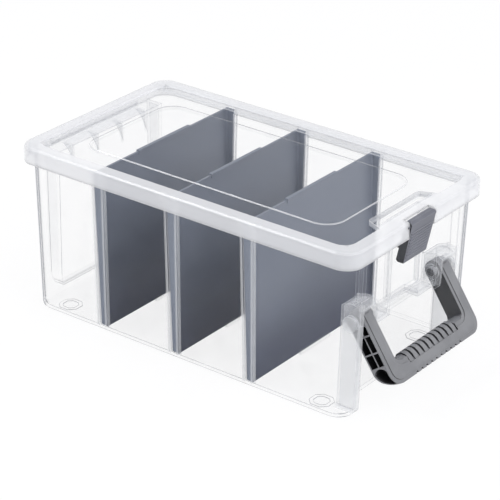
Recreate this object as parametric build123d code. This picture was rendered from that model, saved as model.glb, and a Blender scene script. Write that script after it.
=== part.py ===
from build123d import *
import os

os.makedirs("parts", exist_ok=True)

# Driving sizes of the whole box, in millimetres.
# X runs along the box to the latch and handle end, Y across it, Z up from the table.
BOX_LENGTH = 367.4
BOX_WIDTH = 210.0
BOX_HEIGHT = 163.6
WALL = 1.8

# Tub: a deep moulding that widens a little towards its mouth.
FOOT_LENGTH = 348.7
FOOT_WIDTH = 191.4
FOOT_RADIUS = 17.0
TUB_HEIGHT = 161.5
DRAFT_RATE = 2.95 / 147.6
FLOOR = 2.0
FOOT_EDGE = 4.5
MOUTH_STEP = 148.5
FLANGE_REACH = 4.0
FLANGE_THICK = 1.8

# Right end: a handle recess with two arched arm pockets and a finger recess under the latch.
RECESS_HALF = 72.0
RECESS_WALL_X = 154.5
END_WALL_X = 169.5
PAD_HALF = 50.0
PAD_FOOT_Z = 72.0
FINGER_HALF = 22.0
FINGER_WALL_X = 165.0
BRIDGE_LOW = 77.0
BRIDGE_HIGH = 88.0
COLUMN_X = 175.5
PIVOT_X = 165.4
PIVOT_Z = 84.2
HOOD_RADIUS = 18.0
SOCKET_RADIUS = 4.05
BOSS_RADIUS = 7.0

# Foot marks: shallow rounded rings moulded under the floor near its corners.
FOOT_MARK = 20.5
FOOT_MARK_X = (-148.5, 138.5)
FOOT_MARK_Y = (-75.5, 75.5)

# Left end: a grip recess below a ledge carried by four curved gussets.
GRIP_WALL_X = -162.0
GRIP_FLOOR_Z = 12.0
GRIP_TOP_Z = 150.0
GRIP_CORNER = 12.0
GRIP_FOOT_ROUND = 8.0
GUSSET_REACH = 13.0
GUSSET_DROP = 22.0
GUSSET_PLACES = (-52.0, -17.5, 17.5, 52.0)

# Lid: a downturned rim round a sunken panel with a raised middle.
SKIRT_Z = 147.6
LID_WALL = 1.8
LID_RADIUS = 17.0
RIM_BAND = 13.0
PANEL_Z = 158.5
PANEL_THICK = 1.6
PANEL_HALF_X = 165.4
PANEL_HALF_Y = 84.8
PLATEAU_Z = 160.4
PLATEAU_HALF_X = 138.9
PLATEAU_HALF_Y = 64.7
PLATEAU_RADIUS = 20.0
PLATEAU_SHIFT = -3.6
BUMP_X = 154.0
BUMP_HALF = 38.0

# Lid hinge: round beads inside the left skirt turn in round seats under the tub's lip.
HINGE_X = -180.6
HINGE_Z = 149.5
BEAD_RADIUS = 1.2
SEAT_RADIUS = 1.25
BEAD_SPANS = ((-60.0, -12.0), (12.0, 60.0))

# Latch: one clip at the right end, turning on two stub pins in the lid.
LATCH_X = 182.5
LATCH_Z = 158.5
LATCH_TOP_WIDTH = 38.0
LATCH_FOOT_WIDTH = 35.5
LATCH_TOP_Z = 163.2
LATCH_FOOT_Z = 122.3
LATCH_FACE_TOP_X = 185.6
LATCH_FACE_FOOT_X = 178.0
LATCH_SKIN = 2.2
LATCH_DEPTH = 8.0
LATCH_PIN = 1.7
LATCH_HOLE = 1.75
LATCH_NOTCH = 19.3
LATCH_RIBS = 9
CATCH_Z = 137.0

# Handle: a bail on two arms, drawn hanging and then swung out to where it is shown.
HANDLE_ANGLE = 34.5
ARM_IN = 53.0
ARM_OUT = 68.2
ARM_FRONT = 7.7
ARM_BACK = 9.4
ARM_ROUND = 9.2
GRIP_NEAR = 45.0
GRIP_FAR = 65.7
HANDLE_CORNER = 13.0
GRIP_RIDGES = 10
GRIP_PITCH = 7.6
GRIP_GROOVE = 2.6
GRIP_SCOOP = 9.5
PIN_RADIUS = 4.0

# Dividers: three thin panels whose drafted end flanges drop between ribs in the tub walls.
DIVIDER_PITCH = 83.0
DIVIDER_SLOTS = (-94.4, -94.4 + DIVIDER_PITCH, -94.4 + 2 * DIVIDER_PITCH)
DIVIDER_TOP = 156.6
DIVIDER_GRIP_TOP = 158.3
DIVIDER_FOOT = 2.6
DIVIDER_THICK = 2.0
DIVIDER_GRIP_HALF = 37.0
FLANGE_TOP = (-4.8, 4.2)
FLANGE_FOOT = (-0.6, 4.6)
SLOT_GAP = 0.4
RIB_DEPTH = 3.2
RIB_WIDTH = 1.8
RIB_TOP = 153.0
FLOOR_RIB_HALF = 23.0
FLOOR_RIB_Z = 5.0


def widened(size, z):
    return size + 2 * z * DRAFT_RATE


def block(length, width, radius, z_low, z_high, x_mid=0.0):
    outline = Pos(x_mid, 0, z_low) * RectangleRounded(length, width, radius)
    return extrude(outline, amount=z_high - z_low)


def box_between(low, high):
    size = [b - a for a, b in zip(low, high)]
    middle = [(a + b) / 2 for a, b in zip(low, high)]
    return Pos(*middle) * Box(*size)


# A closed outline in the XZ plane, pushed along Y between two values.
def side_prism(points, y_low, y_high):
    wire = Polyline([(x, 0, z) for x, z in points] + [(points[0][0], 0, points[0][1])])
    face = Pos(0, y_high, 0) * make_face(wire)
    return extrude(face, amount=y_high - y_low, dir=(0, -1, 0))


def cross_cylinder(x, z, radius, y_low, y_high):
    middle = Pos(x, (y_low + y_high) / 2, z) * Rot(90, 0, 0)
    return middle * Cylinder(radius, y_high - y_low)


# A block's top or bottom edge rounded all round in three flat steps.
def rounded_end(solid, end, radius):
    near = 0.366 * radius
    far = 0.1895 * radius
    solid = chamfer(solid.edges().group_by(Axis.Z)[end], 0.634 * radius)
    face = solid.faces().sort_by(Axis.Z)[end]
    solid = chamfer(face.edges(), near, far, reference=face)
    side = solid.faces().filter_by(GeomType.PLANE).sort_by(Axis.Y)[0]
    return chamfer([side.edges().sort_by(Axis.Z)[end]], near, far, reference=side)


def both_sides(shape):
    return shape + mirror(shape, about=Plane.XZ)


def sum_of(shapes):
    total = shapes[0]
    for shape in shapes[1:]:
        total += shape
    return total


# The space taken out of the right end: the handle recess, arm pockets and finger recess.
def right_recess(grow):
    back = RECESS_WALL_X - grow
    upper = back + 1.4
    end = 200.0
    side = RECESS_HALF + grow
    finger = FINGER_HALF + grow
    pocket_in = PAD_HALF + WALL - grow
    step = box_between((END_WALL_X - grow, -side, -1), (end, side, MOUTH_STEP + grow))
    low = side_prism([(back, -1), (upper, 68.0), (end, 68.0), (end, -1)], -side, side)
    middle = box_between((upper, -PAD_HALF, 60), (end, PAD_HALF, PAD_FOOT_Z + grow))
    foot = box_between((upper, -finger, 60), (end, finger, BRIDGE_LOW + grow))
    upright = box_between((FINGER_WALL_X - grow, -finger, BRIDGE_HIGH - grow), (end, finger, 180))
    pocket = box_between((upper, pocket_in, 60), (end, side, PIVOT_Z + 9))
    crown = cross_cylinder(PIVOT_X, PIVOT_Z, HOOD_RADIUS - WALL + grow, pocket_in, side)
    crown &= box_between((upper, 0, PIVOT_Z), (end, 100, 200))
    return step + low + middle + foot + upright + both_sides(pocket + crown)


# The space taken out of the left end, rounded at its lower corners and along its foot.
def left_recess(grow):
    side = RECESS_HALF + grow
    wall = GRIP_WALL_X + grow
    floor = GRIP_FLOOR_Z - grow
    top = GRIP_TOP_Z + grow
    bend = GRIP_FOOT_ROUND + grow
    cut = box_between((-200, -side, floor), (wall, side, top))
    cut = fillet(cut.edges().filter_by(Axis.X).group_by(Axis.Z)[0], GRIP_CORNER + grow)
    outline = [
        (-210, floor),
        (wall - bend, floor),
        (wall - bend / 2, floor + 0.134 * bend),
        (wall - 0.134 * bend, floor + bend / 2),
        (wall, floor + bend),
        (wall, top + 1),
        (-210, top + 1),
    ]
    return cut & side_prism(outline, -side - 1, side + 1)


# The arched hoods that stand out in front of the end wall over each arm.
def hoods():
    arch = cross_cylinder(PIVOT_X, PIVOT_Z, HOOD_RADIUS, PAD_HALF, RECESS_HALF + WALL)
    arch -= cross_cylinder(PIVOT_X, PIVOT_Z, HOOD_RADIUS - WALL, PAD_HALF - 1, RECESS_HALF)
    arch &= box_between((END_WALL_X - WALL, 0, PIVOT_Z + 6), (COLUMN_X, 100, 200))
    outline = [
        (RECESS_WALL_X, 74.5),
        (RECESS_WALL_X, 100.0),
        (END_WALL_X, 101.0),
        (COLUMN_X - 0.2, 97.5),
        (174.6, 77.0),
        (173.9, 72.2),
        (166.9, 66.5),
        (165.3, 74.5),
    ]
    return both_sides(arch + side_prism(outline, PAD_HALF, PAD_HALF + WALL))


# Round blind bosses that hold the handle's pins, on the inner and outer side of each arm.
def pin_bosses():
    inner = cross_cylinder(PIVOT_X, PIVOT_Z, BOSS_RADIUS, PAD_HALF - 4.5, PAD_HALF + WALL)
    outer = cross_cylinder(PIVOT_X, PIVOT_Z, BOSS_RADIUS, RECESS_HALF, RECESS_HALF + 5.5)
    return both_sides(inner + outer)


def pin_sockets():
    deep = (PAD_HALF - 2.5, RECESS_HALF + 3.8)
    return both_sides(cross_cylinder(PIVOT_X, PIVOT_Z, SOCKET_RADIUS, *deep))


# Curved gussets under the ledge at the left end.
def gussets():
    x = GRIP_WALL_X
    top = GRIP_TOP_Z + 0.5
    foot = GRIP_TOP_Z - GUSSET_DROP
    hollow = ThreePointArc((x - GUSSET_REACH, 0, top), (x - 3.6, 0, top - 9.0), (x, 0, foot))
    rest = Polyline((x, 0, foot), (x + 0.8, 0, foot), (x + 0.8, 0, top), (x - GUSSET_REACH, 0, top))
    blade = extrude(make_face([hollow, rest]), amount=0.9, both=True)
    return sum_of([Pos(0, y, 0) * blade for y in GUSSET_PLACES])


# Upright ribs on the long walls, in pairs that leave a tapering slot for each divider flange.
def guide_ribs():
    ribs = []
    for slot in DIVIDER_SLOTS:
        left = slot + FLANGE_TOP[0] - SLOT_GAP
        left_foot = slot + FLANGE_FOOT[0] - SLOT_GAP
        right = slot + FLANGE_TOP[1] + SLOT_GAP
        right_foot = slot + FLANGE_FOOT[1] + SLOT_GAP
        lower = [(left_foot, 1.0), (left_foot - 3.4, 1.0)]
        ribs.append(side_prism([(left - RIB_WIDTH, RIB_TOP), (left, RIB_TOP)] + lower, -110, 110))
        lower = [(right_foot + RIB_WIDTH, 1.0), (right_foot, 1.0)]
        ribs.append(side_prism([(right, RIB_TOP), (right + RIB_WIDTH, RIB_TOP)] + lower, -110, 110))
    wall = chamfered_space(0.5, 0.6, TUB_HEIGHT) - tub_space(WALL + RIB_DEPTH, -1, TUB_HEIGHT + 2)
    return sum_of(ribs) & wall


# The tub's outline at one height, drawn in from its outer face by an inset.
def tub_outline(inset, z):
    length = widened(FOOT_LENGTH, z) - 2 * inset
    width = widened(FOOT_WIDTH, z) - 2 * inset
    return Pos(0, 0, z) * RectangleRounded(length, width, max(FOOT_RADIUS - inset, 4))


def tub_space(inset, z_low, z_high):
    return loft([tub_outline(inset, z_low), tub_outline(inset, z_high)])


# The same space with a straight-sided foot, whose lower edge is then rounded or chamfered.
def straight_foot(inset, z):
    return Pos(0, 0, -FOOT_EDGE) * extrude(tub_outline(inset, z + FOOT_EDGE), amount=FOOT_EDGE)


def chamfered_space(inset, z_low, z_high):
    foot = straight_foot(inset, z_low)
    foot = chamfer(foot.edges().group_by(Axis.Z)[0], FOOT_EDGE - WALL)
    return foot + tub_space(inset, z_low + FOOT_EDGE, z_high)


# The turned-out rim flange with its downturned lip and the round hinge seat at the left.
def rim_flange():
    length = widened(FOOT_LENGTH, TUB_HEIGHT) + 2 * FLANGE_REACH
    width = widened(FOOT_WIDTH, TUB_HEIGHT) + 2 * FLANGE_REACH
    radius = FOOT_RADIUS + 2.0
    lip_width = 1.4
    flange = block(length, width, radius, TUB_HEIGHT - 6, TUB_HEIGHT)
    inner = (length - 2 * lip_width, width - 2 * lip_width, radius - lip_width)
    flange -= block(*inner, TUB_HEIGHT - 7, TUB_HEIGHT - FLANGE_THICK)
    edge = -length / 2
    flange += box_between((edge, -62, HINGE_Z + 0.6), (edge + 2.0, 62, TUB_HEIGHT - 1))
    flange -= cross_cylinder(HINGE_X, HINGE_Z, SEAT_RADIUS, -63, 63)
    return flange - box_between((END_WALL_X, -23.5, 140), (200, 23.5, 170))


# The rib in the finger recess that the latch's inner nose closes over.
def latch_catch():
    root = FINGER_WALL_X - 0.5
    tip = FINGER_WALL_X + 3.6
    z = CATCH_Z
    return side_prism([(root, z - 3.0), (tip, z - 0.8), (tip, z + 0.8), (root, z + 4)], -14, 14)


# Low pairs of ribs on the floor that each divider's foot stands between.
def floor_ribs():
    ribs = []
    for slot in DIVIDER_SLOTS:
        lean = slot + FLANGE_FOOT[1] - 0.7
        for x in (lean + 0.5, lean - DIVIDER_THICK - 0.5 - RIB_WIDTH):
            ribs.append(box_between((x, -FLOOR_RIB_HALF, 1), (x + RIB_WIDTH, FLOOR_RIB_HALF, FLOOR_RIB_Z)))
    return sum_of(ribs)


# Shallow moulded rings under the floor near its corners.
def foot_rings():
    outer = chamfer(Rectangle(FOOT_MARK, FOOT_MARK).vertices(), 5.5)
    inner = chamfer(Rectangle(FOOT_MARK - 7, FOOT_MARK - 7).vertices(), 3.4)
    groove = extrude(outer - inner, amount=0.4)
    return sum_of([Pos(x, y, -0.01) * groove for x in FOOT_MARK_X for y in FOOT_MARK_Y])


# Short slots through the crown of each hood.
def hood_slots():
    low = (PIVOT_X - 2.5, RECESS_HALF - 4.5, PIVOT_Z + 10)
    return both_sides(box_between(low, (PIVOT_X + 6.5, RECESS_HALF - 2, PIVOT_Z + 22)))


def make_tub():
    outer = rounded_end(straight_foot(0, 0), 0, FOOT_EDGE - 0.3)
    outer += tub_space(0, FOOT_EDGE, TUB_HEIGHT)
    cavity = chamfered_space(WALL, FLOOR, TUB_HEIGHT + 5)
    cavity = cavity - right_recess(WALL) - left_recess(WALL)
    tub = outer + rim_flange() - right_recess(0.0) - left_recess(0.0) - cavity
    tub = tub + guide_ribs() + floor_ribs() + hoods() + pin_bosses() + gussets() + latch_catch()
    return tub - pin_sockets() - hood_slots() - foot_rings()


def frustum(low_size, low_z, high_size, high_z):
    low = Pos(0, 0, low_z) * RectangleRounded(*low_size)
    high = Pos(0, 0, high_z) * RectangleRounded(*high_size)
    return loft([low, high])


# The raised tongue of the rim that covers the finger recess, seen from above.
def bump(inset, z_low, z_high):
    half = BUMP_HALF - inset
    near = BUMP_X + inset
    far = BOX_LENGTH / 2 - RIM_BAND + 1.3
    corners = [(near, -half), (far, -half - 7.5), (far, half + 7.5), (near, half)]
    face = make_face(Polyline(corners + corners[:1]))
    prism = extrude(Pos(0, 0, z_low) * face, amount=z_high - z_low)
    return fillet(prism.edges().filter_by(Axis.Z).sort_by(Axis.X)[:2], 4.0 - inset)


# The panel sinks inside the tub's mouth and its middle rises again by a small step.
def lid_pan(shell):
    top = BOX_HEIGHT
    under = PANEL_Z - PANEL_THICK
    half_x = BOX_LENGTH / 2 - RIM_BAND
    half_y = BOX_WIDTH / 2 - RIM_BAND + 0.5
    well_foot = (2 * PANEL_HALF_X, 2 * PANEL_HALF_Y, 9.0)
    well = frustum(well_foot, PANEL_Z, (2 * half_x, 2 * half_y, 12.5), top)
    well += block(2 * half_x, 2 * half_y, 12.5, top - 0.01, top + 5)
    pan_foot = (2 * PANEL_HALF_X + 1.2, 2 * PANEL_HALF_Y + 0.8, 9.4)
    pan = frustum(pan_foot, under, (2 * half_x + 0.6, 2 * half_y, 12.5), top - 1.9)
    lid = shell + pan + bump(0, under, top - 1)
    lid -= well - bump(0, under, top + 6)
    lid -= bump(WALL, under - 1, top - 2.0)
    middle = (2 * PLATEAU_HALF_X, 2 * PLATEAU_HALF_Y, PLATEAU_RADIUS)
    plateau = block(*middle, PANEL_Z - 0.5, PLATEAU_Z, x_mid=PLATEAU_SHIFT)
    plateau = chamfer(plateau.edges().group_by(Axis.Z)[-1], 0.7)
    inner = (middle[0] - 3.2, middle[1] - 3.2, PLATEAU_RADIUS - 1.6)
    hollow = block(*inner, under - 1, PLATEAU_Z - PANEL_THICK, x_mid=PLATEAU_SHIFT)
    return lid + plateau - hollow


# Round beads on short webs inside the left skirt, on the lid's turning line.
def hinge_beads():
    x = HINGE_X
    z = HINGE_Z
    web = [(x - 1.9, z - 1.5), (x, z - 1.1), (x - 0.4, z + 0.2), (x - 1.9, z + 0.5)]
    beads = []
    for low, high in BEAD_SPANS:
        beads.append(cross_cylinder(x, z, BEAD_RADIUS, low, high))
        beads.append(side_prism(web, low, high))
    return sum_of(beads)


# Two lugs behind the skirt, one each side of the notch, bored for the latch's stub pins.
def latch_lugs():
    edge = BOX_LENGTH / 2
    lug = box_between((LATCH_X - 2.9, LATCH_NOTCH, LATCH_Z - 4), (edge - 0.5, 22.0, BOX_HEIGHT - 1.5))
    return both_sides(lug)


def make_lid():
    top = BOX_HEIGHT
    shell = block(BOX_LENGTH, BOX_WIDTH, LID_RADIUS, SKIRT_Z, top)
    shell = rounded_end(shell, -1, 3.0)
    inner = (BOX_LENGTH - 2 * LID_WALL, BOX_WIDTH - 2 * LID_WALL, LID_RADIUS - LID_WALL)
    shell -= block(*inner, SKIRT_Z - 1, top - 2.0)
    lid = lid_pan(shell) + hinge_beads() + latch_lugs()
    lid -= box_between((LATCH_X - 5.9, -LATCH_NOTCH, 140), (200, LATCH_NOTCH, 180))
    bore = cross_cylinder(LATCH_X, LATCH_Z, LATCH_HOLE, LATCH_NOTCH - 1, 21.6)
    return lid - both_sides(bore)


# The latch's outline from the side: a leaning face with flanges behind it.
def latch_side():
    return [
        (LATCH_FACE_FOOT_X, LATCH_FOOT_Z),
        (LATCH_FACE_TOP_X, LATCH_TOP_Z - 2.6),
        (LATCH_FACE_TOP_X - 2.4, LATCH_TOP_Z),
        (LATCH_X - 2.8, LATCH_TOP_Z),
        (LATCH_X - 4.1, LATCH_Z + 3.3),
        (LATCH_X - 4.1, LATCH_Z - 1.5),
        (LATCH_X - 6.3, LATCH_Z - 8.5),
        (LATCH_FACE_FOOT_X - LATCH_DEPTH + 0.4, LATCH_FOOT_Z + 1.8),
        (LATCH_FACE_FOOT_X - LATCH_DEPTH + 2.2, LATCH_FOOT_Z),
    ]


def latch_face_x(z):
    run = (z - LATCH_FOOT_Z) / (LATCH_TOP_Z - 2.6 - LATCH_FOOT_Z)
    return LATCH_FACE_FOOT_X + run * (LATCH_FACE_TOP_X - LATCH_FACE_FOOT_X)


# The front view of the latch: a little narrower at its foot, with rounded upper corners.
def latch_front():
    top = LATCH_TOP_WIDTH / 2
    foot = LATCH_FOOT_WIDTH / 2
    corners = [
        (160, -foot, LATCH_FOOT_Z - 1),
        (160, -top, LATCH_TOP_Z),
        (160, top, LATCH_TOP_Z),
        (160, foot, LATCH_FOOT_Z - 1),
    ]
    face = make_face(Polyline(corners + corners[:1]))
    prism = extrude(face, amount=40, dir=(1, 0, 0))
    return fillet(prism.edges().filter_by(Axis.X).group_by(Axis.Z)[-1], 3.0)


# Fine grip ribs across the lower part of the latch's face.
def latch_ribs():
    pitch = 3.0
    ribs = []
    for i in range(LATCH_RIBS):
        z = LATCH_FOOT_Z + 5.0 + i * pitch
        x = latch_face_x(z)
        rib = [(x - 1, z - 0.9), (x + 0.55, z - 0.35), (x + 0.65, z + 0.25), (x - 1, z + 0.9)]
        ribs.append(side_prism(rib, -16.2, 16.2))
    return sum_of(ribs)


def make_latch():
    body = side_prism(latch_side(), -25, 25) & latch_front()
    half = LATCH_FOOT_WIDTH / 2 - 2.0
    hollow = [
        (150, LATCH_FOOT_Z - 5),
        (latch_face_x(LATCH_FOOT_Z - 5) - LATCH_SKIN, LATCH_FOOT_Z - 5),
        (latch_face_x(LATCH_Z - 5.5) - LATCH_SKIN, LATCH_Z - 5.5),
        (LATCH_X - 1.5, LATCH_Z - 3.2),
        (150, LATCH_Z - 3.2),
    ]
    body -= side_prism(hollow, -half, half)
    body += latch_ribs()
    body += cross_cylinder(LATCH_X, LATCH_Z, LATCH_PIN, -21.4, 21.4)
    root = latch_face_x(CATCH_Z) - 1
    tip = FINGER_WALL_X + 4.1
    z = CATCH_Z
    nose = [(root, z + 2), (tip, z - 0.6), (tip, z - 2), (root, z - 3)]
    return body + side_prism(nose, -half - 0.5, half + 0.5)


# The handle seen from the side while it hangs: a flat face and a rounded heel.
def handle_side(inset, y_low, y_high):
    front = ARM_FRONT - inset
    back = -ARM_BACK + inset
    far = -GRIP_FAR + inset
    heel = ThreePointArc((back, 0, -50.0), (-4.4 + inset * 0.7, 0, -59.4 + inset * 0.7), (front, 0, far))
    rest = Polyline((front, 0, far), (front, 0, 12), (back, 0, 12), (back, 0, -50.0))
    face = Pos(0, y_high, 0) * make_face([heel, rest])
    return extrude(face, amount=y_high - y_low, dir=(0, -1, 0))


# The U of the handle seen face on, shrunk by an inset from every edge.
def handle_plan(inset, x_low, x_high):
    far = -GRIP_FAR + inset
    width = 2 * (ARM_OUT - inset)
    height = 12 - far
    plan = Pos(0, (12 + far) / 2) * RectangleRounded(width, height, HANDLE_CORNER - inset)
    opening_far = -GRIP_NEAR - 3.5 - inset
    opening_height = 40 - opening_far
    opening = RectangleRounded(2 * (ARM_IN + inset), opening_height, 7.0 + inset)
    plan -= Pos(0, (40 + opening_far) / 2) * opening
    return extrude(Plane.YZ.offset(x_low) * plan, amount=x_high - x_low)


# The finger bar: crowned on its inner side.
def grip_bar():
    start = (-ARM_BACK, 0, -GRIP_NEAR - 5.0)
    end = (ARM_FRONT, 0, -GRIP_NEAR - 4.5)
    crown = ThreePointArc(start, (-1.5, 0, -GRIP_NEAR), end)
    low = -GRIP_NEAR - 9.0
    rest = Polyline(end, (ARM_FRONT, 0, low), (-ARM_BACK + 3.5, 0, low), start)
    return extrude(make_face([crown, rest]), amount=ARM_IN + 1, both=True)


# The scoop along the bar's upper front edge that the crescent ridges stand in.
def grip_scoop():
    low = -GRIP_NEAR - GRIP_SCOOP
    outline = [(ARM_FRONT + 1, low), (ARM_FRONT - 0.6, low), (2.6, -GRIP_NEAR - 2.2), (2.6, 0), (ARM_FRONT + 1, 0)]
    half = GRIP_RIDGES / 2 * GRIP_PITCH
    return side_prism(outline, -half, half)


# Crescent ridges: fins that bulge over the bar and run down into its front face.
def grip_ridges():
    crest = -GRIP_NEAR + 1.6
    outline = [
        (-ARM_BACK + 0.2, -GRIP_NEAR - 6.0),
        (-7.2, crest - 3.8),
        (-3.8, crest - 0.7),
        (-0.6, crest),
        (2.8, crest - 0.7),
        (5.6, crest - 3.0),
        (7.2, crest - 6.4),
        (ARM_FRONT, crest - 11.0),
        (0, crest - 13.0),
    ]
    first = -(GRIP_RIDGES - 1) / 2 * GRIP_PITCH
    half = (GRIP_PITCH - GRIP_GROOVE) / 2
    ridges = []
    for i in range(GRIP_RIDGES):
        y = first + i * GRIP_PITCH
        ridges.append(side_prism(outline, y - half, y + half))
    return sum_of(ridges)


# Small notches along the lower front edge of the finger bar.
def edge_notches():
    first = -(GRIP_RIDGES - 1) / 2 * GRIP_PITCH
    notches = []
    for i in range(GRIP_RIDGES):
        y = first + i * GRIP_PITCH
        notches.append(box_between((4.6, y - 1.1, -GRIP_FAR - 1), (20, y + 1.1, -GRIP_FAR + 1.9)))
    return sum_of(notches)


# Cored pockets in the outer side of an arm: three rows of two and a round-topped heel pocket.
def arm_pockets():
    cores = []
    for low, high in ((-15.2, -7.4), (-31.3, -16.6), (-44.6, -32.7)):
        cores.append(box_between((-ARM_BACK + 1.4, 55.7, low), (-0.3, 80, high)))
        cores.append(box_between((0.9, 55.7, low), (ARM_FRONT - 1.1, 80, high)))
    heel = cross_cylinder(-0.8, -54.4, 8.4, 55.7, 80) + box_between((-12, 55.7, -63), (12, 80, -54.4))
    heel &= handle_side(1.4, 50, 90)
    return both_sides(sum_of(cores) + heel)


def make_handle():
    body = handle_plan(0, -20, 20) & handle_side(0, -80, 80)
    ends = cross_cylinder(0, 0, ARM_ROUND, -80, 80) + box_between((-20, -80, -90), (20, 80, 0))
    body &= ends
    band = handle_plan(3.6, ARM_FRONT - 0.5, ARM_FRONT + 0.6) & box_between((-20, -80, -90), (20, 80, 1.5))
    body = body + grip_bar() + band - grip_scoop() + grip_ridges()
    body = body - arm_pockets() - edge_notches()
    pin = cross_cylinder(0, 0, PIN_RADIUS, PAD_HALF - 2.2, ARM_IN + 1)
    pin += cross_cylinder(0, 0, PIN_RADIUS, ARM_OUT - 1, RECESS_HALF + 3.5)
    body += both_sides(pin)
    return Pos(PIVOT_X, 0, PIVOT_Z) * Rot(0, -HANDLE_ANGLE, 0) * body


# One divider about its slot: a leaning panel, drafted end flanges and a thicker grip edge.
def make_divider(slot):
    top = DIVIDER_TOP
    foot = DIVIDER_FOOT
    left = slot + FLANGE_TOP[0]
    lean = slot + FLANGE_FOOT[1] - 0.7
    space = chamfered_space(WALL + 0.5, foot, top + 5)
    panel = side_prism(
        [(left, top), (left + DIVIDER_THICK, top), (lean, foot), (lean - DIVIDER_THICK, foot)], -110, 110
    )
    sides = side_prism(
        [
            (left, top),
            (slot + FLANGE_TOP[1], top),
            (slot + FLANGE_FOOT[1], foot),
            (slot + FLANGE_FOOT[0], foot),
        ],
        -110,
        110,
    )
    sides -= tub_space(2 * WALL + 0.5, -1, top + 9)
    half = DIVIDER_GRIP_HALF
    grip = box_between((left - 0.6, -half, top - 2.5), (left + 3.0, half, DIVIDER_GRIP_TOP))
    grip = fillet(grip.edges().filter_by(Axis.Y).group_by(Axis.Z)[-1], 0.8)
    return ((panel + sides) & space) + grip


parts = {
    "tub": make_tub(),
    "lid": make_lid(),
    "latch": make_latch(),
    "handle": make_handle(),
}
for number, slot in enumerate(DIVIDER_SLOTS, 1):
    parts[f"divider_{number}"] = make_divider(slot)

for name, shape in parts.items():
    solids = len(shape.solids())
    box = shape.bounding_box()
    print(name, round(shape.volume / 1000, 1), "cm3", solids, "solid", shape.is_valid)
    print("  from", [round(v, 1) for v in box.min], "to", [round(v, 1) for v in box.max])
    export_step(shape, f"parts/{name}.step")
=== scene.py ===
import bpy
import math
from mathutils import Matrix, Vector


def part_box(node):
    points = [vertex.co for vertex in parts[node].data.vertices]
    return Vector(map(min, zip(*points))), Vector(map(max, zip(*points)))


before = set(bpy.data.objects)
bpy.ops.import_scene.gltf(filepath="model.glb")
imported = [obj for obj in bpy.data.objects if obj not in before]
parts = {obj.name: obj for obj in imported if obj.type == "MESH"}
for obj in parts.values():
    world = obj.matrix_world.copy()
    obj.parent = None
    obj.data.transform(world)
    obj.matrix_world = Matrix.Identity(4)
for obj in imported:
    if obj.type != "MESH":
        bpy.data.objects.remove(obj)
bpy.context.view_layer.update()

# Tub. One deep injection moulding in clear polypropylene. It is a little milky where the
# wall is thick or doubled: the handle's hoods and pin bosses, the sides of both recesses,
# the shelf, the gussets and the leaning guide ribs that hold the dividers.
MM = 0.001
TUB_VEIL = 0.012
TUB_GRAZING_VEIL = 1.9
CORNER_GRAZING_VEIL = 14.0
LINE_VEIL = 0.9
MARK_VEIL = 0.01
SHADOW_SHARE = 0.14
FACING_BLEND = 0.42
GRAZING_POWER = 6.0
GRAZING_TONE_POWER = 4.0
PLASTIC_IOR = 1.49
TUB_FACE_COLOUR = (0.46, 0.48, 0.53, 1)
TUB_MILK_COLOUR = (0.86, 0.875, 0.91, 1)
TUB_GRAZING_COLOUR = (0.24, 0.245, 0.275, 1)
TUB_EDGE_HIGHLIGHT_COLOUR = (0.72, 0.735, 0.78, 1)
TUB_FOOT_EDGE_SHADE_COLOUR = (0.40, 0.41, 0.45, 1)

# How milky each thick place is, from 0 to 1, and how soon milk turns the tone pale.
HOOD_MILK = 0.17
PIN_BOSS_MILK = 0.34
RECESS_SIDE_MILK = 0.30
SHELF_MILK = 0.24
FINGER_SIDE_MILK = 0.24
GRIP_SIDE_MILK = 0.10
GUSSET_MILK = 0.26
RIB_MILK = 0.34
MILK_TO_TONE = 8.0

# Where each thick place lies in the tub's frame. A pair is where its soft edge starts and
# where it is full. "Across" is the distance from the middle plane, on either side.
HANDLE_END = (150.0 * MM, 156.0 * MM)
RECESS_ACROSS = (78.5 * MM, 77.5 * MM)
ARM_ACROSS = (48.5 * MM, 49.5 * MM)
HOOD_FOOT = (71.5 * MM, 72.5 * MM)
HOOD_TOP = (104.0 * MM, 102.5 * MM)
PIN_CENTRE = (165.4 * MM, 84.2 * MM)
PIN_BOSS_RADIUS = 7.0 * MM
PIN_BOSS_SOFTNESS = 1.08
RECESS_SIDE_ACROSS = (70.5 * MM, 71.5 * MM)
RECESS_SIDE_TOP = (92.0 * MM, 84.0 * MM)
SHELF_FOOT = (70.5 * MM, 71.2 * MM)
SHELF_TOP = (76.5 * MM, 75.8 * MM)
SHELF_ACROSS = (50.5 * MM, 49.5 * MM)
FINGER_SIDE_INNER = (21.6 * MM, 21.9 * MM)
FINGER_SIDE_OUTER = (24.2 * MM, 23.9 * MM)
FINGER_SIDE_ALONG = (164.0 * MM, 165.0 * MM)
FINGER_SIDE_FOOT = (72.0 * MM, 74.0 * MM)
GRIP_SIDE_ALONG = (-163.5 * MM, -164.5 * MM)
GRIP_SIDE_INNER = (70.8 * MM, 71.4 * MM)
GRIP_SIDE_OUTER = (74.5 * MM, 73.9 * MM)
GRIP_SIDE_FOOT = (15.0 * MM, 70.0 * MM)
GUSSET_ROOT = (-162.2 * MM, -162.8 * MM)
GUSSET_TIP = (-176.2 * MM, -175.2 * MM)
GUSSET_ACROSS = (54.5 * MM, 53.5 * MM)
GUSSET_FOOT = (126.0 * MM, 129.0 * MM)

# The guide ribs come in pairs, one on each side of a slot. An edge is its distance from
# the slot at the foot, and its lean: how far it moves along the tub for each unit of height.
FIRST_SLOT = -94.4 * MM
SLOT_PITCH = 83.0 * MM
LEFT_RIB = ((-4.4 * MM, -0.0171), (-1.0 * MM, -0.0276))
RIGHT_RIB = ((5.0 * MM, -0.0026), (6.8 * MM, -0.0026))
RIB_SOFTNESS = (0.3 * MM, 0.1 * MM)
RIB_ACROSS = (87.5 * MM, 88.5 * MM)
RIB_ALONG = (112.0 * MM, 110.0 * MM)
RIB_FOOT = (3.0 * MM, 5.0 * MM)
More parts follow.
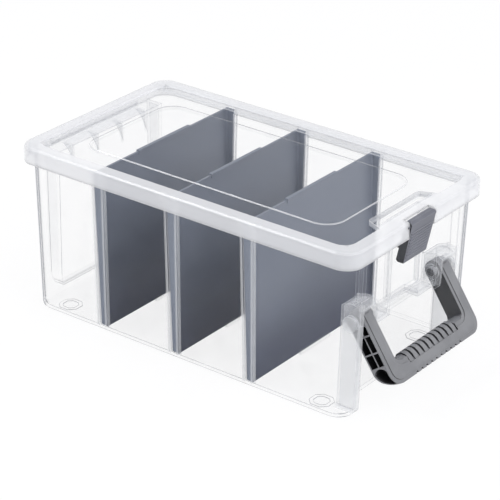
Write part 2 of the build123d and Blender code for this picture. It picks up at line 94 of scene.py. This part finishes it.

# The edge lines are pale painted highlights, turning to a darker painted shade at the tub's
# foot, and faint at the foot of the grip recess. The four upright corners are the densest
# part of the wall where it is seen along its skin.
FOOT_SHADE_TOP = (2.0 * MM, 10.0 * MM)
GRIP_FOOT_ALONG = (-155.0 * MM, -160.0 * MM)
GRIP_FOOT_TOP = (30.0 * MM, 24.0 * MM)
GRIP_FOOT_FADING = 0.85
CORNER_ALONG = (164.0 * MM, 170.0 * MM)
CORNER_ACROSS = (82.0 * MM, 88.0 * MM)


def material_with_shader(name):
    """A new material holding only a Principled shader and its output."""
    material = bpy.data.materials.new(name)
    material.use_nodes = True
    tree = material.node_tree
    tree.nodes.clear()
    out = tree.nodes.new("ShaderNodeOutputMaterial")
    shader = tree.nodes.new("ShaderNodeBsdfPrincipled")
    tree.links.new(shader.outputs["BSDF"], out.inputs["Surface"])
    return material, tree, shader


def mould_in(material, *names):
    """Gives the named pieces this material and no other."""
    for name in names:
        parts[name].data.materials.clear()
        parts[name].data.materials.append(material)


def wire(tree, kind, inputs=None, **settings):
    """Adds a node, sets its properties, and links or fills its inputs by name or number."""
    node = tree.nodes.new(kind)
    for key, value in settings.items():
        setattr(node, key, value)
    for key, value in (inputs or {}).items():
        if isinstance(value, bpy.types.NodeSocket):
            tree.links.new(value, node.inputs[key])
        else:
            node.inputs[key].default_value = value
    return node


def maths(tree, operation, *values, clamp=False):
    """One step of arithmetic on sockets or plain numbers."""
    node = wire(tree, "ShaderNodeMath", dict(enumerate(values)), operation=operation, use_clamp=clamp)
    return node.outputs[0]


def product(tree, *masks):
    """All the masks multiplied together."""
    total = masks[0]
    for mask in masks[1:]:
        total = maths(tree, "MULTIPLY", total, mask)
    return total


def largest(tree, *masks):
    """The greatest of the masks at each point."""
    greatest = masks[0]
    for mask in masks[1:]:
        greatest = maths(tree, "MAXIMUM", greatest, mask)
    return greatest


def length(tree, first, second):
    """The length of a flat vector from its two sides."""
    squares = maths(tree, "ADD", product(tree, first, first), product(tree, second, second))
    return maths(tree, "SQRT", squares)


def ramp(tree, value, start, end, low=0.0, high=1.0):
    """Runs smoothly from low to high as the value goes from start to end."""
    node = wire(tree, "ShaderNodeMapRange", {0: value, 1: start, 2: end, 3: low, 4: high},
                interpolation_type="SMOOTHSTEP")
    return node.outputs[0]


def blend_colours(tree, factor, first, second):
    """Runs from the first colour to the second as the factor goes from 0 to 1."""
    node = wire(tree, "ShaderNodeMix", {"Factor": factor, 6: first, 7: second}, data_type="RGBA")
    return node.outputs[2]


def effect(name, inputs, outputs):
    """An empty node group with named sockets for vectors and plain values."""
    kinds = {"value": "NodeSocketFloat", "vector": "NodeSocketVector"}
    group = bpy.data.node_groups.new(name, "ShaderNodeTree")
    for socket, kind in inputs.items():
        group.interface.new_socket(socket, in_out="INPUT", socket_type=kinds[kind])
    for socket, kind in outputs.items():
        group.interface.new_socket(socket, in_out="OUTPUT", socket_type=kinds[kind])
    entry = group.nodes.new("NodeGroupInput")
    leave = group.nodes.new("NodeGroupOutput")
    return group, entry.outputs, leave.inputs


# Moulded skin: fine tool grain, slow sink ripples and patches of duller handling marks.
RIPPLE_SCALE = 16.0
PATCH_SCALE = 42.0
WORN_FROM = 0.42
WORN_FULL = 0.68

moulded_skin, skin_in, skin_out = effect(
    "moulded_skin",
    {"Place": "vector", "Grain Size": "value", "Ripple": "value", "Roughness": "value", "Dulling": "value"},
    {"Height": "value", "Roughness": "value", "Patches": "value"},
)
grain = wire(moulded_skin, "ShaderNodeTexNoise",
             {"Vector": skin_in["Place"], "Scale": skin_in["Grain Size"], "Detail": 3.0})
ripple = wire(moulded_skin, "ShaderNodeTexNoise",
              {"Vector": skin_in["Place"], "Scale": RIPPLE_SCALE, "Detail": 1.5})
patches = wire(moulded_skin, "ShaderNodeTexNoise",
               {"Vector": skin_in["Place"], "Scale": PATCH_SCALE, "Detail": 5.0})
ripple_height = maths(moulded_skin, "MULTIPLY", ripple.outputs[0], skin_in["Ripple"])
height = maths(moulded_skin, "ADD", grain.outputs[0], ripple_height)
moulded_skin.links.new(height, skin_out["Height"])
worn = ramp(moulded_skin, patches.outputs[0], WORN_FROM, WORN_FULL)
dulled = maths(moulded_skin, "MULTIPLY_ADD", worn, skin_in["Dulling"], skin_in["Roughness"])
moulded_skin.links.new(dulled, skin_out["Roughness"])
moulded_skin.links.new(worn, skin_out["Patches"])

# Soft edges: a rounded normal near each edge, and a mask that is 1 along the edges. The
# mask rises as the rounded normal turns away from the flat face's own.
EDGE_STARTS = 0.99
EDGE_FULL = 0.90

soft_edges, edge_in, edge_out = effect(
    "soft_edges", {"Radius": "value"}, {"Normal": "vector", "Edge": "value"})
rounded = wire(soft_edges, "ShaderNodeBevel", {"Radius": edge_in["Radius"]}, samples=6)
flat = wire(soft_edges, "ShaderNodeNewGeometry")
alike = wire(soft_edges, "ShaderNodeVectorMath", {0: rounded.outputs[0], 1: flat.outputs["Normal"]},
             operation="DOT_PRODUCT")
soft_edges.links.new(rounded.outputs[0], edge_out["Normal"])
soft_edges.links.new(ramp(soft_edges, alike.outputs["Value"], EDGE_STARTS, EDGE_FULL), edge_out["Edge"])


def place_in_part(tree):
    """The surface point in the part's own frame, in metres, whole and split into X, Y and Z."""
    place = wire(tree, "ShaderNodeTexCoord").outputs["Object"]
    axes = wire(tree, "ShaderNodeSeparateXYZ", {0: place}).outputs
    return place, axes


def direction_in_part(tree):
    """The surface direction in the part's own frame, split into X, Y and Z."""
    direction = wire(tree, "ShaderNodeTexCoord").outputs["Normal"]
    return wire(tree, "ShaderNodeSeparateXYZ", {0: direction}).outputs


def skin_and_edges(tree, shader, place, edge_radius, grain_size, ripple, roughness, dulling, depth,
                   round_radius=None):
    """Puts the moulded skin and soft edges on a shader, and gives back the masks of worn
    patches and of edges. A linked round_radius rounds the shading apart from the edge mask."""
    skin = wire(tree, "ShaderNodeGroup", node_tree=moulded_skin)
    edges = wire(tree, "ShaderNodeGroup", node_tree=soft_edges)
    edges.inputs["Radius"].default_value = edge_radius
    rounding = edges
    if round_radius is not None:
        rounding = wire(tree, "ShaderNodeGroup", node_tree=soft_edges)
        tree.links.new(round_radius, rounding.inputs["Radius"])
    tree.links.new(place, skin.inputs["Place"])
    skin.inputs["Grain Size"].default_value = grain_size
    skin.inputs["Ripple"].default_value = ripple
    skin.inputs["Roughness"].default_value = roughness
    skin.inputs["Dulling"].default_value = dulling
    bump = wire(tree, "ShaderNodeBump", {"Height": skin.outputs["Height"], "Strength": 1.0,
                                         "Normal": rounding.outputs["Normal"], "Distance": depth})
    tree.links.new(bump.outputs[0], shader.inputs["Normal"])
    tree.links.new(skin.outputs["Roughness"], shader.inputs["Roughness"])
    return skin.outputs["Patches"], edges.outputs["Edge"]


def clear_plastic(tree, shader, veil, line, patches, tone, painted_edge_tone, grazing_veil, grazing_colour):
    """A thin clear wall: a faint veil face on, a denser one where it is seen along its skin,
    and a line at each edge in painted_edge_tone: a painted highlight, darkened to painted shade
    at the tub's foot. Shadows stay light, because milky plastic spreads the light."""
    facing = wire(tree, "ShaderNodeLayerWeight", {"Blend": FACING_BLEND}).outputs["Facing"]
    slant = maths(tree, "POWER", facing, GRAZING_POWER)
    veiled = maths(tree, "MULTIPLY_ADD", slant, grazing_veil, veil, clamp=True)
    veiled = maths(tree, "MULTIPLY_ADD", line, LINE_VEIL, veiled)
    veiled = maths(tree, "MULTIPLY_ADD", patches, MARK_VEIL, veiled, clamp=True)
    in_shadow = wire(tree, "ShaderNodeLightPath").outputs["Is Shadow Ray"]
    dimming = maths(tree, "MULTIPLY_ADD", in_shadow, SHADOW_SHARE - 1, 1.0)
    tree.links.new(maths(tree, "MULTIPLY", veiled, dimming), shader.inputs["Alpha"])
    colour = blend_colours(tree, maths(tree, "POWER", facing, GRAZING_TONE_POWER), tone, grazing_colour)
    tree.links.new(blend_colours(tree, line, colour, painted_edge_tone), shader.inputs["Base Color"])
    shader.inputs["IOR"].default_value = PLASTIC_IOR


def leaning_rib(tree, from_slot, height, left, right):
    """1 over a guide rib's width, between its left and right edges."""
    start, full = RIB_SOFTNESS
    past_left = maths(tree, "MULTIPLY_ADD", height, -left[1], from_slot)
    past_right = maths(tree, "MULTIPLY_ADD", height, -right[1], from_slot)
    return product(tree, ramp(tree, past_left, left[0] - start, left[0] - full),
                   ramp(tree, past_right, right[0] + start, right[0] + full))


tub_plastic, tree, shader = material_with_shader("clear_tub_plastic")
place, axes = place_in_part(tree)
patches, edge = skin_and_edges(tree, shader, place, edge_radius=0.62 * MM, grain_size=900.0, ripple=0.8,
                               roughness=0.14, dulling=0.1, depth=0.04 * MM)
along, aside, up = axes
across = maths(tree, "ABSOLUTE", aside)
at_end = ramp(tree, along, *HANDLE_END)
in_recess = product(tree, at_end, ramp(tree, across, *RECESS_ACROSS))
at_arm = product(tree, in_recess, ramp(tree, across, *ARM_ACROSS))
hood = product(tree, at_arm, ramp(tree, up, *HOOD_FOOT), ramp(tree, up, *HOOD_TOP, 0.0, HOOD_MILK))
from_pin = length(tree, maths(tree, "SUBTRACT", along, PIN_CENTRE[0]),
                  maths(tree, "SUBTRACT", up, PIN_CENTRE[1]))
boss = product(tree, at_arm, ramp(tree, from_pin, PIN_BOSS_RADIUS * PIN_BOSS_SOFTNESS, PIN_BOSS_RADIUS,
                                  0.0, PIN_BOSS_MILK))
recess_side = product(tree, in_recess, ramp(tree, across, *RECESS_SIDE_ACROSS),
                      ramp(tree, up, *RECESS_SIDE_TOP, 0.0, RECESS_SIDE_MILK))
shelf = product(tree, at_end, ramp(tree, up, *SHELF_FOOT), ramp(tree, up, *SHELF_TOP),
                ramp(tree, across, *SHELF_ACROSS, 0.0, SHELF_MILK))
finger_side = product(tree, ramp(tree, across, *FINGER_SIDE_INNER), ramp(tree, across, *FINGER_SIDE_OUTER),
                      ramp(tree, along, *FINGER_SIDE_ALONG, 0.0, FINGER_SIDE_MILK),
                      ramp(tree, up, *FINGER_SIDE_FOOT))
grip_side = product(tree, ramp(tree, along, *GRIP_SIDE_ALONG), ramp(tree, across, *GRIP_SIDE_INNER),
                    ramp(tree, across, *GRIP_SIDE_OUTER),
                    ramp(tree, up, *GRIP_SIDE_FOOT, 0.0, GRIP_SIDE_MILK))
gusset = product(tree, ramp(tree, along, *GUSSET_ROOT), ramp(tree, along, *GUSSET_TIP),
                 ramp(tree, across, *GUSSET_ACROSS), ramp(tree, up, *GUSSET_FOOT, 0.0, GUSSET_MILK))
past_slots = maths(tree, "ADD", along, SLOT_PITCH / 2 - FIRST_SLOT)
past_pitch = maths(tree, "FLOORED_MODULO", past_slots, SLOT_PITCH)
from_slot = maths(tree, "SUBTRACT", past_pitch, SLOT_PITCH / 2)
rib = largest(tree, leaning_rib(tree, from_slot, up, *LEFT_RIB),
              leaning_rib(tree, from_slot, up, *RIGHT_RIB))
from_middle = maths(tree, "ABSOLUTE", along)
rib = product(tree, rib, ramp(tree, across, *RIB_ACROSS), ramp(tree, from_middle, *RIB_ALONG),
              ramp(tree, up, *RIB_FOOT, 0.0, RIB_MILK))
milk = largest(tree, hood, boss, recess_side, shelf, finger_side, grip_side, gusset, rib)
veil = maths(tree, "ADD", milk, TUB_VEIL)
milkiness = maths(tree, "MULTIPLY", milk, MILK_TO_TONE, clamp=True)
tone = blend_colours(tree, milkiness, TUB_FACE_COLOUR, TUB_MILK_COLOUR)
# Painted highlight lines along the edges, faint at the grip recess's foot, turning to painted shade at the
# tub's foot.
at_grip_foot = product(tree, ramp(tree, along, *GRIP_FOOT_ALONG), ramp(tree, up, *GRIP_FOOT_TOP))
line = product(tree, edge, maths(tree, "MULTIPLY_ADD", at_grip_foot, -GRIP_FOOT_FADING, 1.0))
painted_edge_tone = blend_colours(tree, ramp(tree, up, *FOOT_SHADE_TOP), TUB_FOOT_EDGE_SHADE_COLOUR, TUB_EDGE_HIGHLIGHT_COLOUR)
at_corner = product(tree, ramp(tree, from_middle, *CORNER_ALONG), ramp(tree, across, *CORNER_ACROSS))
grazing = maths(tree, "MULTIPLY_ADD", at_corner, CORNER_GRAZING_VEIL - TUB_GRAZING_VEIL, TUB_GRAZING_VEIL)
clear_plastic(tree, shader, veil, line, patches, tone, painted_edge_tone, grazing, TUB_GRAZING_COLOUR)
mould_in(tub_plastic, "tub")

# Dividers. Three thin panels in slate-grey polypropylene with a fine satin grain. Painted light
# makes them paler towards the top and along their end flanges, and their edges carry a painted
# highlight. They drop between the tub's ribs and lift out by their raised middle.
SLATE_SHADED_LOW = (0.064, 0.074, 0.115, 1)
SLATE_LIT_HIGH = (0.190, 0.211, 0.263, 1)
SLATE_WORN_AND_LIT = (0.27, 0.30, 0.37, 1)
SLATE_LIGHT_RISE = (5.0 * MM, 95.0 * MM)
FLANGE_ACROSS = (91.0 * MM, 93.5 * MM)
FLANGE_PAINTED_LIGHT = 0.75
SLATE_EDGE_HIGHLIGHT = 0.7
SLATE_PATCH_RUBBING = 0.06
SLATE_SPECULAR = 0.30

slate_plastic, tree, shader = material_with_shader("slate_divider_plastic")
place, axes = place_in_part(tree)
patches, edge = skin_and_edges(tree, shader, place, edge_radius=0.6 * MM, grain_size=260.0, ripple=3.0,
                               roughness=0.30, dulling=0.08, depth=0.004 * MM)
across = maths(tree, "ABSOLUTE", axes[1])
# The random patches are wear. The end flanges and the edges are painted paler as painted light.
flange = ramp(tree, across, *FLANGE_ACROSS, 0.0, FLANGE_PAINTED_LIGHT)
wear_and_painted_light = maths(tree, "MULTIPLY", patches, SLATE_PATCH_RUBBING)
wear_and_painted_light = maths(tree, "MULTIPLY_ADD", edge, SLATE_EDGE_HIGHLIGHT, wear_and_painted_light)
wear_and_painted_light = maths(tree, "MAXIMUM", wear_and_painted_light, flange, clamp=True)
# Painted light: the slate is painted darker at the foot and paler towards the top.
slate = blend_colours(tree, ramp(tree, axes[2], *SLATE_LIGHT_RISE), SLATE_SHADED_LOW, SLATE_LIT_HIGH)
tree.links.new(blend_colours(tree, wear_and_painted_light, slate, SLATE_WORN_AND_LIT), shader.inputs["Base Color"])
shader.inputs["Specular IOR Level"].default_value = SLATE_SPECULAR
mould_in(slate_plastic, "divider_1", "divider_2", "divider_3")

# Lid. A milky rim that hooks over the tub, round a clear sunken panel with a raised middle.
# It is one moulding: only the thickness of the plastic makes the rim whiter. The rim's
# outer skin is the dense layer. Pairs are soft edges, as on the tub.
PANEL_VEIL = 0.032
RIM_SKIN_VEIL = 0.74
RIM_INNER_VEIL = 0.09
RIM_FROM_INSIDE = 0.50
LID_GRAZING_VEIL = 0.35
PANEL_COLOUR = (0.40, 0.43, 0.50, 1)
RIM_COLOUR = (0.845, 0.855, 0.895, 1)
RIM_EDGE_HIGHLIGHT_COLOUR = (0.95, 0.955, 0.97, 1)
RIM_GRAZING_COLOUR = (0.66, 0.67, 0.71, 1)
RIM_BAND = 13.5 * MM
RIM_FADE = (6.0 * MM, 0.0)
LID_RADIUS = 17.0 * MM
SKIN_DEPTH = (1.0 * MM, 1.5 * MM)
ROUNDED_DEPTH = (1.4 * MM, 1.2 * MM)
ROUNDED_BAND = (10.0 * MM, 8.0 * MM)
RIM_ROUNDING = 5.5 * MM
EDGE_ROUNDING = 0.9 * MM
LINES_ABOVE = (159.2 * MM, 159.5 * MM)
CHAMFER_FOOT = (159.1 * MM, 159.3 * MM)
CHAMFER_LEAN = (0.97, 0.90)
OFF_THE_RIM = (0.3, 0.0)
CHAMFER_HIGHLIGHT = 0.56
COAT_ROUGHNESS = 0.16

lid_plastic, tree, shader = material_with_shader("clear_lid_plastic")
place, axes = place_in_part(tree)
lid_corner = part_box("lid")[1]
along = maths(tree, "ABSOLUTE", axes[0])
across = maths(tree, "ABSOLUTE", axes[1])
up = axes[2]

# The rim's band, and the depth of each point below the rounded rectangle of its outer skin.
inside = maths(tree, "MINIMUM", maths(tree, "SUBTRACT", lid_corner.x - RIM_BAND, along),
               maths(tree, "SUBTRACT", lid_corner.y - RIM_BAND, across))
rim = ramp(tree, inside, *RIM_FADE)
past_x = maths(tree, "MAXIMUM", maths(tree, "SUBTRACT", along, lid_corner.x - LID_RADIUS), 0.0)
past_y = maths(tree, "MAXIMUM", maths(tree, "SUBTRACT", across, lid_corner.y - LID_RADIUS), 0.0)
from_outside = maths(tree, "SUBTRACT", LID_RADIUS, length(tree, past_x, past_y))
under_skin = maths(tree, "MINIMUM", from_outside, maths(tree, "SUBTRACT", lid_corner.z, up))
outer_skin = product(tree, ramp(tree, from_outside, *ROUNDED_BAND), ramp(tree, under_skin, *ROUNDED_DEPTH))
softness = maths(tree, "MULTIPLY_ADD", outer_skin, RIM_ROUNDING - EDGE_ROUNDING, EDGE_ROUNDING)
patches, edge = skin_and_edges(tree, shader, place, edge_radius=EDGE_ROUNDING, grain_size=900.0, ripple=0.8,
                               roughness=0.15, dulling=0.1, depth=0.06 * MM, round_radius=softness)

# The veil of rim and panel, with less of the outer skin seen from inside, and the pale lines
# on the rim and round the raised middle, which are painted highlights along the edges.
from_inside = wire(tree, "ShaderNodeNewGeometry").outputs["Backfacing"]
skin_veil = maths(tree, "MULTIPLY_ADD", from_inside, RIM_SKIN_VEIL * (RIM_FROM_INSIDE - 1), RIM_SKIN_VEIL)
rim_veil = ramp(tree, under_skin, *SKIN_DEPTH, skin_veil, RIM_INNER_VEIL)
veil = maths(tree, "MULTIPLY_ADD", rim, maths(tree, "SUBTRACT", rim_veil, PANEL_VEIL), PANEL_VEIL)
tone = blend_colours(tree, rim, PANEL_COLOUR, RIM_COLOUR)
lined = largest(tree, rim, ramp(tree, up, *LINES_ABOVE))
upright = maths(tree, "ABSOLUTE", direction_in_part(tree)[2])
# Painted highlight on the sloped chamfer round the raised middle.
chamfer = product(tree, ramp(tree, upright, *CHAMFER_LEAN), ramp(tree, up, *CHAMFER_FOOT),
                  ramp(tree, rim, *OFF_THE_RIM), CHAMFER_HIGHLIGHT)
line = largest(tree, product(tree, edge, lined), chamfer)
clear_plastic(tree, shader, veil, line, patches, tone, RIM_EDGE_HIGHLIGHT_COLOUR, LID_GRAZING_VEIL, RIM_GRAZING_COLOUR)
shader.inputs["Coat Weight"].default_value = 1.0
shader.inputs["Coat Roughness"].default_value = COAT_ROUGHNESS
mould_in(lid_plastic, "lid")

# Latch. A thumb clip in blue-grey polypropylene with fine ribs, turning on two stub pins
# between lugs in the lid's rim. Its nose closes in front of the tub's catch rib.
LATCH_GREY = (0.122, 0.128, 0.162, 1)
LATCH_WORN_AND_LIT = (0.34, 0.35, 0.395, 1)
LATCH_SHADED_SIDE = (0.035, 0.038, 0.045, 1)
LATCH_PATCH_RUBBING = 0.2
FACING_SIDEWAYS = (0.7, 0.95)

latch_plastic, tree, shader = material_with_shader("blue_grey_latch_plastic")
place, axes = place_in_part(tree)
patches, edge = skin_and_edges(tree, shader, place, edge_radius=0.5 * MM, grain_size=1600.0, ripple=0.3,
                               roughness=0.38, dulling=0.14, depth=0.05 * MM)
# The random patches are wear; the edges are painted paler as a painted highlight.
wear_and_painted_light = maths(tree, "MULTIPLY_ADD", patches, LATCH_PATCH_RUBBING, edge, clamp=True)
grey = blend_colours(tree, wear_and_painted_light, LATCH_GREY, LATCH_WORN_AND_LIT)
# Painted shade: the faces turned sideways are painted nearly black.
sideways = ramp(tree, maths(tree, "ABSOLUTE", direction_in_part(tree)[1]), *FACING_SIDEWAYS)
tree.links.new(blend_colours(tree, sideways, grey, LATCH_SHADED_SIDE), shader.inputs["Base Color"])
mould_in(latch_plastic, "latch")

# Handle. A stout bail in mid-grey polypropylene: cored arms, a finger bar with crescent
# ridges, and stub pins that turn in the tub's hooded pockets. The arms' inner faces get a
# dark painted shade, the cored pockets a nearly black painted shade found by occlusion, and
# the edges a painted highlight.
HANDLE_GREY = (0.214, 0.218, 0.236, 1)
HANDLE_WORN_AND_LIT = (0.38, 0.385, 0.405, 1)
HANDLE_INNER_SHADE = (0.050, 0.051, 0.056, 1)
HANDLE_POCKET_SHADE = (0.010, 0.010, 0.012, 1)
HANDLE_EDGE_HIGHLIGHT = 0.6
HANDLE_PATCH_RUBBING = 0.25
ARM_INNER_FACE = (54.8 * MM, 54.0 * MM)
ARM_CORES = (53.0 * MM, 55.0 * MM)
BAR_SHADE = 0.22
HOLLOW_REACH = 14.0 * MM
HOLLOW_SHADE = (0.80, 0.50)

handle_plastic, tree, shader = material_with_shader("mid_grey_handle_plastic")
place, axes = place_in_part(tree)
patches, edge = skin_and_edges(tree, shader, place, edge_radius=0.6 * MM, grain_size=1500.0, ripple=0.3,
                               roughness=0.42, dulling=0.14, depth=0.05 * MM)
# The random patches are wear; the edges are painted paler as a painted highlight.
wear_and_painted_light = maths(tree, "MULTIPLY", edge, HANDLE_EDGE_HIGHLIGHT)
wear_and_painted_light = maths(tree, "MULTIPLY_ADD", patches, HANDLE_PATCH_RUBBING, wear_and_painted_light, clamp=True)
grey = blend_colours(tree, wear_and_painted_light, HANDLE_GREY, HANDLE_WORN_AND_LIT)
across = maths(tree, "ABSOLUTE", axes[1])
# Painted shade on the arms' inner faces, which face sideways.
sideways = ramp(tree, maths(tree, "ABSOLUTE", direction_in_part(tree)[1]), *FACING_SIDEWAYS)
shaded_inner_face = product(tree, sideways, ramp(tree, across, *ARM_INNER_FACE))
grey = blend_colours(tree, shaded_inner_face, grey, HANDLE_INNER_SHADE)
# Painted shade in the hollows found by occlusion, weaker on the finger bar.
hollow = wire(tree, "ShaderNodeAmbientOcclusion", {"Distance": HOLLOW_REACH}, samples=8, only_local=True)
pocket_shade = product(tree, ramp(tree, hollow.outputs["AO"], *HOLLOW_SHADE),
               ramp(tree, across, *ARM_CORES, BAR_SHADE, 1.0))
tree.links.new(blend_colours(tree, pocket_shade, grey, HANDLE_POCKET_SHADE), shader.inputs["Base Color"])
mould_in(handle_plastic, "handle")

# Table top. A plain white paper sweep that takes the box's soft shadow. What is seen of it,
# by eye or in a gloss, is white. To the light that falls on the box it is plain pale paper.
FLOOR_HALF = 6.0
FLOOR_DROP = 0.4 * MM
PAPER_DARK = (0.84, 0.84, 0.84, 1)
PAPER_LIGHT = (0.87, 0.87, 0.87, 1)
PAPER_SHADE = (0.11, 0.11, 0.115, 1)
PAPER_GLOW = 0.90
PAPER_ROUGHNESS = 0.9
FIBRE_SCALE = 300.0
WHITE = (1, 1, 1, 1)

floor_mesh = bpy.data.meshes.new("white_sweep")
corners = [(-1, -1), (1, -1), (1, 1), (-1, 1)]
corners = [(x * FLOOR_HALF, y * FLOOR_HALF, -FLOOR_DROP) for x, y in corners]
floor_mesh.from_pydata(corners, [], [(0, 1, 2, 3)])
floor = bpy.data.objects.new("white_sweep", floor_mesh)
bpy.context.scene.collection.objects.link(floor)


def looked_at(tree):
    """1 for rays that see a surface: from the camera, in a gloss or through a clear body."""
    ray = wire(tree, "ShaderNodeLightPath").outputs
    return largest(tree, ray["Is Camera Ray"], ray["Is Glossy Ray"], ray["Is Transmission Ray"])


sweep_paper, tree, shader = material_with_shader("white_sweep_paper")
place, axes = place_in_part(tree)
fibres = wire(tree, "ShaderNodeTexNoise", {"Vector": place, "Scale": FIBRE_SCALE, "Detail": 4.0})
shader.inputs["Roughness"].default_value = PAPER_ROUGHNESS
shader.inputs["Specular IOR Level"].default_value = 0.0
tree.links.new(blend_colours(tree, fibres.outputs[0], PAPER_DARK, PAPER_LIGHT), shader.inputs["Base Color"])
shade = wire(tree, "ShaderNodeBsdfDiffuse", {"Color": PAPER_SHADE})
glow = wire(tree, "ShaderNodeEmission", {"Color": WHITE, "Strength": PAPER_GLOW})
seen = wire(tree, "ShaderNodeAddShader", {0: shade.outputs[0], 1: glow.outputs[0]})
paper = wire(tree, "ShaderNodeMixShader", {0: looked_at(tree), 1: shader.outputs[0], 2: seen.outputs[0]})
out = next(node for node in tree.nodes if node.type == "OUTPUT_MATERIAL")
tree.links.new(paper.outputs[0], out.inputs["Surface"])
floor_mesh.materials.append(sweep_paper)

# Studio light. An even white surround with three softboxes: a long strip over the left
# front, a broad box high on the right for the rim's end, and a weak strip behind.
SURROUND_LIGHT = 0.64

world = bpy.data.worlds.new("white_surround")
bpy.context.scene.world = world
world.use_nodes = True
tree = world.node_tree
surround = tree.nodes["Background"]
surround.inputs["Color"].default_value = WHITE
tree.links.new(maths(tree, "MULTIPLY_ADD", looked_at(tree), 1 - SURROUND_LIGHT, SURROUND_LIGHT),
               surround.inputs["Strength"])


def softbox(name, place, aim, width, height, watts):
    """A rectangular lamp at a place, turned to face the aim."""
    lamp = bpy.data.lights.new(name, "AREA")
    lamp.shape = "RECTANGLE"
    lamp.size = width
    lamp.size_y = height
    lamp.energy = watts
    lamp_object = bpy.data.objects.new(name, lamp)
    lamp_object.location = place
    lamp_object.rotation_euler = (Vector(aim) - Vector(place)).to_track_quat("-Z", "Y").to_euler()
    bpy.context.scene.collection.objects.link(lamp_object)


softbox("softbox_left", (-1.07, -1.0, 1.6), (0, 0, 0.1), width=1.4, height=0.3, watts=12.0)
softbox("softbox_right", (1.5, -0.2, 1.2), (0.1, 0, 0.1), width=0.7, height=1.0, watts=10.5)
softbox("softbox_back", (0.9, 1.5, 1.3), (0, 0, 0.1), width=1.2, height=0.3, watts=3.0)

# Camera. The photograph's view: a long lens from the front right, looking down on the lid,
# turned a little about its own line of sight and set off the middle by a few millimetres.
AZIMUTH = 0.638752
ELEVATION = 0.457911
ROLL = 0.016648
DISTANCE = 2.01995
AIM_HEIGHT = 0.080
SIDE_STEP = 1.896 * MM
DROP = 5.842 * MM
FOCAL_WIDTHS = 2228.86 / 500
SENSOR_WIDTH = 36.0
FARTHEST_SEEN = 20.0
CLEAR_SKINS_SEEN_THROUGH = 40

back = Vector((math.sin(AZIMUTH) * math.cos(ELEVATION), -math.cos(AZIMUTH) * math.cos(ELEVATION),
               math.sin(ELEVATION)))
level_right = (-back).cross(Vector((0, 0, 1))).normalized()
level_up = level_right.cross(-back)
frame_right = level_right * math.cos(ROLL) + level_up * math.sin(ROLL)
frame_up = level_up * math.cos(ROLL) - level_right * math.sin(ROLL)
eye = Vector((0, 0, AIM_HEIGHT)) + back * DISTANCE + frame_right * SIDE_STEP - frame_up * DROP

lens = bpy.data.cameras.new("photo_camera")
lens.sensor_width = SENSOR_WIDTH
lens.lens = SENSOR_WIDTH * FOCAL_WIDTHS
lens.clip_end = FARTHEST_SEEN
camera = bpy.data.objects.new("photo_camera", lens)
turn = Matrix((frame_right, frame_up, back)).transposed().to_4x4()
camera.matrix_world = Matrix.Translation(eye) @ turn
bpy.context.scene.collection.objects.link(camera)
bpy.context.scene.camera = camera
bpy.context.scene.view_settings.view_transform = "Standard"
bpy.context.scene.cycles.transparent_max_bounces = CLEAR_SKINS_SEEN_THROUGH
